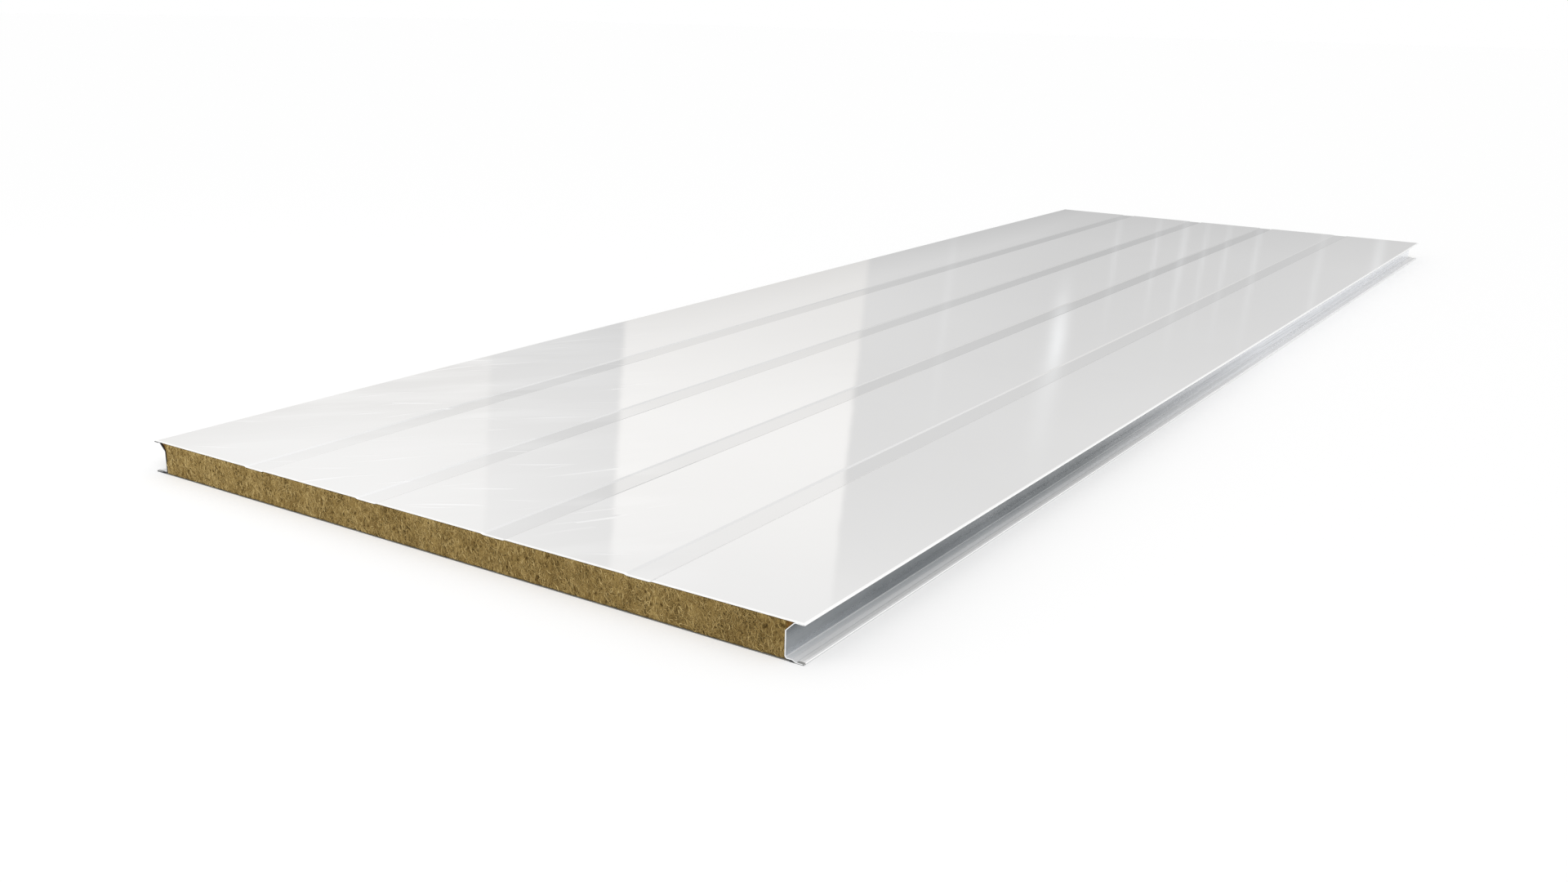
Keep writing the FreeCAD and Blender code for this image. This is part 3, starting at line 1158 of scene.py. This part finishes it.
@dataclass
class SteelWork:
    """The facings and the edge channels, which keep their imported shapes."""

    facing: CoatedSteel
    underside: CoatedSteel
    left_channel: GalvanisedSteel
    right_channel: GalvanisedSteel

    def dress(self) -> None:
        """Give each steel node its finish."""
        finishes = {"top_facing": self.facing, "bottom_facing": self.underside,
                    "edge_channel_left": self.left_channel, "edge_channel_right": self.right_channel}
        for name, finish in finishes.items():
            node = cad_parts[name]
            node.data.materials.clear()
            node.data.materials.append(finish.material())
            log.info("%s: dressed as %s", name, finish.name)


# The studio -------------------------------------------------------------------------------------------


@dataclass(frozen=True)
class StudioFloor(Finish):
    """Pale floor that the camera and glossy surfaces see as white, with the shadow kept."""

    colour: Triple = (0.80, 0.80, 0.80)
    glow: float = 0.225

    def shade(self, graph: Graph, shader: Node, place: Socket) -> None:
        """Set the floor's plain colour."""
        graph.fill(shader, Base_Color=self.colour, Roughness=0.9, Specular_IOR_Level=0.0)

    def surface(self, graph: Graph, shader: Node) -> Socket:
        """Add a glow for camera, glossy and transmission rays."""
        strength = graph.times(graph.backdrop_rays(), self.glow)
        glow = graph.add("Emission", {"Color": (1.0, 1.0, 1.0), "Strength": strength})
        return graph.add("AddShader", {0: shader.outputs[0], 1: glow.outputs[0]}).outputs[0]


@dataclass(frozen=True)
class GlowingCard(Finish):
    """A card lit from behind, with the light of each place kept on its points."""

    def shade(self, graph: Graph, shader: Node, place: Socket) -> None:
        """Show the card's own light and nothing else."""
        light = graph.add("Attribute", attribute_name="light").outputs["Color"]
        graph.fill(shader, Base_Color=(0.0, 0.0, 0.0), Specular_IOR_Level=0.0, Emission_Color=light,
                   Emission_Strength=1.0)


@dataclass(frozen=True)
class ReflectionWall:
    """A curved wall of cards beyond the panel, which only glossy surfaces see.

    The light is given at headings from the wall's middle, for its lower and its upper cards, and carried
    straight between them.  Two headings close together are the edge of a card.  Above the wall's shoulder
    the light rises to the sky's.  Each tube is an upright strip, given by its heading and half width in
    degrees, its height and half height, and the light that it adds.  All of them lean by some degrees for
    each metre above the foot.
    """

    finish: GlowingCard
    name: str = "reflection_wall"
    distance: float = 9.0
    height: float = 7.0
    cards: tuple[float, float] = (1.1, 2.2)
    shoulder: tuple[float, float] = (2.5, 3.8)
    sky: float = 1.05
    headings: tuple[float, ...] = (-75.0, -51.0, -44.7, -44.5, -39.4, -39.2, -29.8, -29.6, -22.0, -14.0, -8.0,
                                   10.0, 30.0)
    upper: tuple[float, ...] = (0.82, 0.86, 0.92, 0.70, 0.60, 1.30, 1.28, 0.46, 0.53, 0.76, 0.90, 0.95, 1.0)
    lower: tuple[float, ...] = (0.85, 0.80, 0.72, 0.58, 0.50, 0.86, 0.80, 0.58, 0.46, 0.52, 0.62, 0.72, 0.9)
    tubes: tuple[tuple[float, float, float, float, float], ...] = (
        (-21.8, 0.32, 1.33, 0.24, 0.60), (-22.0, 0.45, 1.75, 0.35, 0.18), (-20.1, 0.10, 0.8, 0.35, 0.12),
        (-18.6, 0.08, 0.8, 0.30, 0.16), (-17.6, 0.12, 0.8, 0.40, 0.18), (-16.8, 0.08, 0.8, 0.30, 0.14),
        (-16.0, 0.08, 0.8, 0.35, 0.14), (-14.9, 0.10, 0.8, 0.40, 0.14), (-12.6, 0.12, 1.0, 0.60, 0.12),
        (-10.6, 0.18, 0.9, 0.50, 0.22), (-26.4, 0.16, 1.2, 0.60, 0.08))
    lean: float = -0.45
    foot: float = 1.4
    warm: Triple = (1.0, 0.978, 0.950)
    cool: Triple = (0.985, 0.99, 1.0)
    tube_colour: Triple = (0.93, 0.97, 1.0)
    step: float = 0.1

    def light(self, heading: np.ndarray, rise: np.ndarray) -> np.ndarray:
        """Return the wall's light.

        It is the cards' light, carried from the lower cards' to the upper ones' and to the sky's as the wall
        rises, plus a bell curve across and up for each tube.  Bright cards are warm and dim ones cool.

        Args:
            heading: The headings of the wall's columns, in degrees.
            rise: The heights of its rows, in metres.

        Returns:
            Colours, one row for each height, one column for each heading, by 3.
        """
        upright = heading - self.lean * (rise - self.foot)[:, None]
        low, high = (np.interp(upright, self.headings, levels) for levels in (self.lower, self.upper))
        share = smoothstep(rise, *self.cards)[:, None]
        open_sky = smoothstep(rise, *self.shoulder)[:, None]
        level = (low * (1 - share) + high * share) * (1 - open_sky) + self.sky * open_sky
        middle, half, centre, reach, light = (np.array(column)[:, None, None] for column in zip(*self.tubes))
        glow = np.exp(-(((upright - middle) / half) ** 2) - ((rise[:, None] - centre) / reach) ** 2)
        tubes = (light * glow).sum(axis=0)[..., None] * (1 - open_sky)[..., None]
        warmth = smoothstep(level, 0.5, 0.8)[..., None] * (1 - open_sky)[..., None]
        colour = level[..., None] * (np.array(self.cool) * (1 - warmth) + np.array(self.warm) * warmth)
        return colour + tubes * np.array(self.tube_colour)

    def build(self, stand: Vector) -> Object:
        """Make the wall: a part of a cylinder, with a point at every step in degrees and in metres up.

        Args:
            stand: The place that the headings are measured from.

        Returns:
            The wall, marked as part of the stage.
        """
        heading = np.arange(self.headings[0], self.headings[-1] + self.step / 2, self.step)
        rise = np.arange(0.0, self.height, self.step)
        turn, up = np.meshgrid(np.radians(heading), rise)
        across, along = stand.x + self.distance * np.sin(turn), stand.y + self.distance * np.cos(turn)
        points = np.stack([across, along, up], axis=-1)
        wall = mesh_piece(self.name, points.reshape(-1, 3), [grid_quads(*turn.shape)], smooth=False)
        attribute = wall.data.attributes.new("light", "FLOAT_COLOR", "POINT")
        rgba = np.concatenate([self.light(heading, rise).reshape(-1, 3), np.ones((turn.size, 1))], axis=1)
        attribute.data.foreach_set("color", rgba.astype(np.float32).ravel())
        wall.data.materials.append(self.finish.material())
        wall.visible_camera = False
        wall.visible_diffuse = False
        wall.visible_shadow = False
        wall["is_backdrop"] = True
        return wall


class LampKind(Enum):
    """The kinds of lamp, by Blender's names for them."""

    SQUARE_BOX = "AREA"
    DISTANT = "SUN"


@dataclass(frozen=True)
class Lamp:
    """A soft lamp, unseen by camera and gloss.

    Its spread is the side of a square box in metres, or the angle of a distant lamp in degrees.
    """

    name: str
    kind: LampKind
    place: Triple
    aim: Triple
    strength: float
    spread: float
    colour: Triple = (1.0, 1.0, 1.0)

    def build(self) -> Object:
        """Make the lamp, pointing from its place to its aim, and return it."""
        data = bpy.data.lights.new(self.name, self.kind.value)
        data.energy = self.strength
        data.color = self.colour
        if self.kind is LampKind.DISTANT:
            data.angle = math.radians(self.spread)
        else:
            data.shape = "SQUARE"
            data.size = self.spread
        lamp = bpy.data.objects.new(self.name, data)
        lamp.location = self.place
        lamp.rotation_euler = (Vector(self.aim) - Vector(self.place)).to_track_quat("-Z", "Y").to_euler()
        lamp.visible_camera = False
        lamp.visible_glossy = False
        bpy.context.scene.collection.objects.link(lamp)
        return lamp


@dataclass
class Studio:
    """Floor, world, lights, reflections and camera."""

    sizes: PanelSizes
    floor: StudioFloor
    wall: ReflectionWall
    lamps: tuple[Lamp, ...] = (
        Lamp("wide_key", LampKind.DISTANT, (3.0, -2.6, 3.0), (0.0, 0.0, 0.0), 1.35, 40.0),
        Lamp("left_front_light", LampKind.SQUARE_BOX, (-1.6, -3.3, 0.9), (-0.4, -1.8, 0.0), 8.0, 1.2,
             (1.0, 0.99, 0.97)))
    aside: float = 0.766
    before: float = 1.244
    above: float = 0.648
    heading_deg: float = -32.71
    pitch_deg: float = 16.63
    roll_deg: float = 1.27
    lens_mm: float = 32.9
    sensor_mm: float = 36.0
    sight: tuple[float, float] = (0.05, 200.0)
    ambient: float = 0.70
    floor_reach: float = 60.0
    floor_gap: float = 0.02 * MM

    def build(self) -> None:
        """Make the whole studio."""
        self.build_floor()
        self.build_world()
        self.build_camera()
        for lamp in self.lamps:
            lamp.build()
        self.wall.build(self.camera_place())
        bpy.context.scene.view_settings.view_transform = "Standard"

    def camera_place(self) -> Vector:
        """Return where the camera stands: beside, before and above the panel's near corner."""
        near = Vector((self.sizes.half_width, -self.sizes.half_length, self.sizes.thickness))
        return near + Vector((self.aside, -self.before, self.above))

    def build_floor(self) -> None:
        """Make a wide floor just under the panel."""
        corners = np.array([(-1.0, -1.0), (1.0, -1.0), (1.0, 1.0), (-1.0, 1.0)]) * self.floor_reach
        points = np.column_stack([corners, np.full(len(corners), -self.floor_gap)])
        floor = mesh_piece("studio_floor", points, [np.array([[0, 1, 2, 3]])], smooth=False)
        floor.data.materials.append(self.floor.material())
        floor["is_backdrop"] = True

    def build_world(self) -> None:
        """Make an even ambient light that camera, glossy and transmission rays see as white."""
        world = bpy.data.worlds.new("studio_world")
        world.use_nodes = True
        world.node_tree.nodes.clear()
        graph = Graph(world.node_tree)
        strength = graph.span(graph.backdrop_rays(), 0.0, 1.0, self.ambient, 1.0)
        back = graph.add("Background", {"Color": (1.0, 1.0, 1.0), "Strength": strength})
        graph.add("OutputWorld", {"Surface": back.outputs[0]})
        bpy.context.scene.world = world

    def build_camera(self) -> None:
        """Make the camera and look along its heading and pitch, with a slight roll."""
        data = bpy.data.cameras.new("camera")
        data.lens = self.lens_mm
        data.sensor_width = self.sensor_mm
        data.clip_start, data.clip_end = self.sight
        camera = bpy.data.objects.new("camera", data)
        heading, pitch = math.radians(self.heading_deg), math.radians(self.pitch_deg)
        level = math.cos(pitch)
        look = Vector((math.sin(heading) * level, math.cos(heading) * level, -math.sin(pitch)))
        camera.location = self.camera_place()
        turn = look.to_track_quat("-Z", "Y") @ Quaternion((0.0, 0.0, 1.0), math.radians(self.roll_deg))
        camera.rotation_euler = turn.to_euler()
        bpy.context.scene.collection.objects.link(camera)
        bpy.context.scene.camera = camera


# Putting it together ----------------------------------------------------------------------------------


def main() -> None:
    """Build every piece in order and report it."""
    logging.basicConfig(level=logging.INFO, format="%(name)s: %(message)s")
    sizes = PanelSizes.read()
    sawn = SawnWool(sizes)
    top_coat = CoatedSteel("coated_steel_top")
    # The under coat's dark end colour is painted shade along the bottom edge, and its low seam level gives
    # the bottom lips painted shade.
    under_coat = CoatedSteel("coated_steel_under", end_highlight_and_shade=(0.30, 0.30, 0.29), seam_top=0.9 * MM,
                             swaged=False)
    # The left channel's dark cut ends are painted shade.
    shaded_end_channel = GalvanisedSteel("galvanised_steel_shaded_end", end_highlight_and_shade=(0.10, 0.10, 0.11))
    SteelWork(top_coat, under_coat, shaded_end_channel, GalvanisedSteel("galvanised_steel")).dress()
    ground = WoolGround("wool_ground")
    pieces = WoolRows(sizes, sawn, ground).build()
    # The shoulder strips' wool is darker and more orange: partly its own tone and partly painted shade of
    # their recess.
    shaded_strip_wool = WoolGround("wool_shaded_strip", (0.060, 0.030, 0.006), (0.200, 0.105, 0.024), (0.34, 0.20, 0.06))
    pieces += ShoulderStrips(sizes, shaded_strip_wool).build()
    pieces += TuftField(sizes, sawn, WoolTuft("wool_tuft")).build()
    for piece in pieces:
        log.info("%s: %d faces", piece.name, len(piece.data.polygons))
    Studio(sizes, StudioFloor("studio_floor"), ReflectionWall(GlowingCard("glowing_card"))).build()


if __name__ == "__main__":
    main()
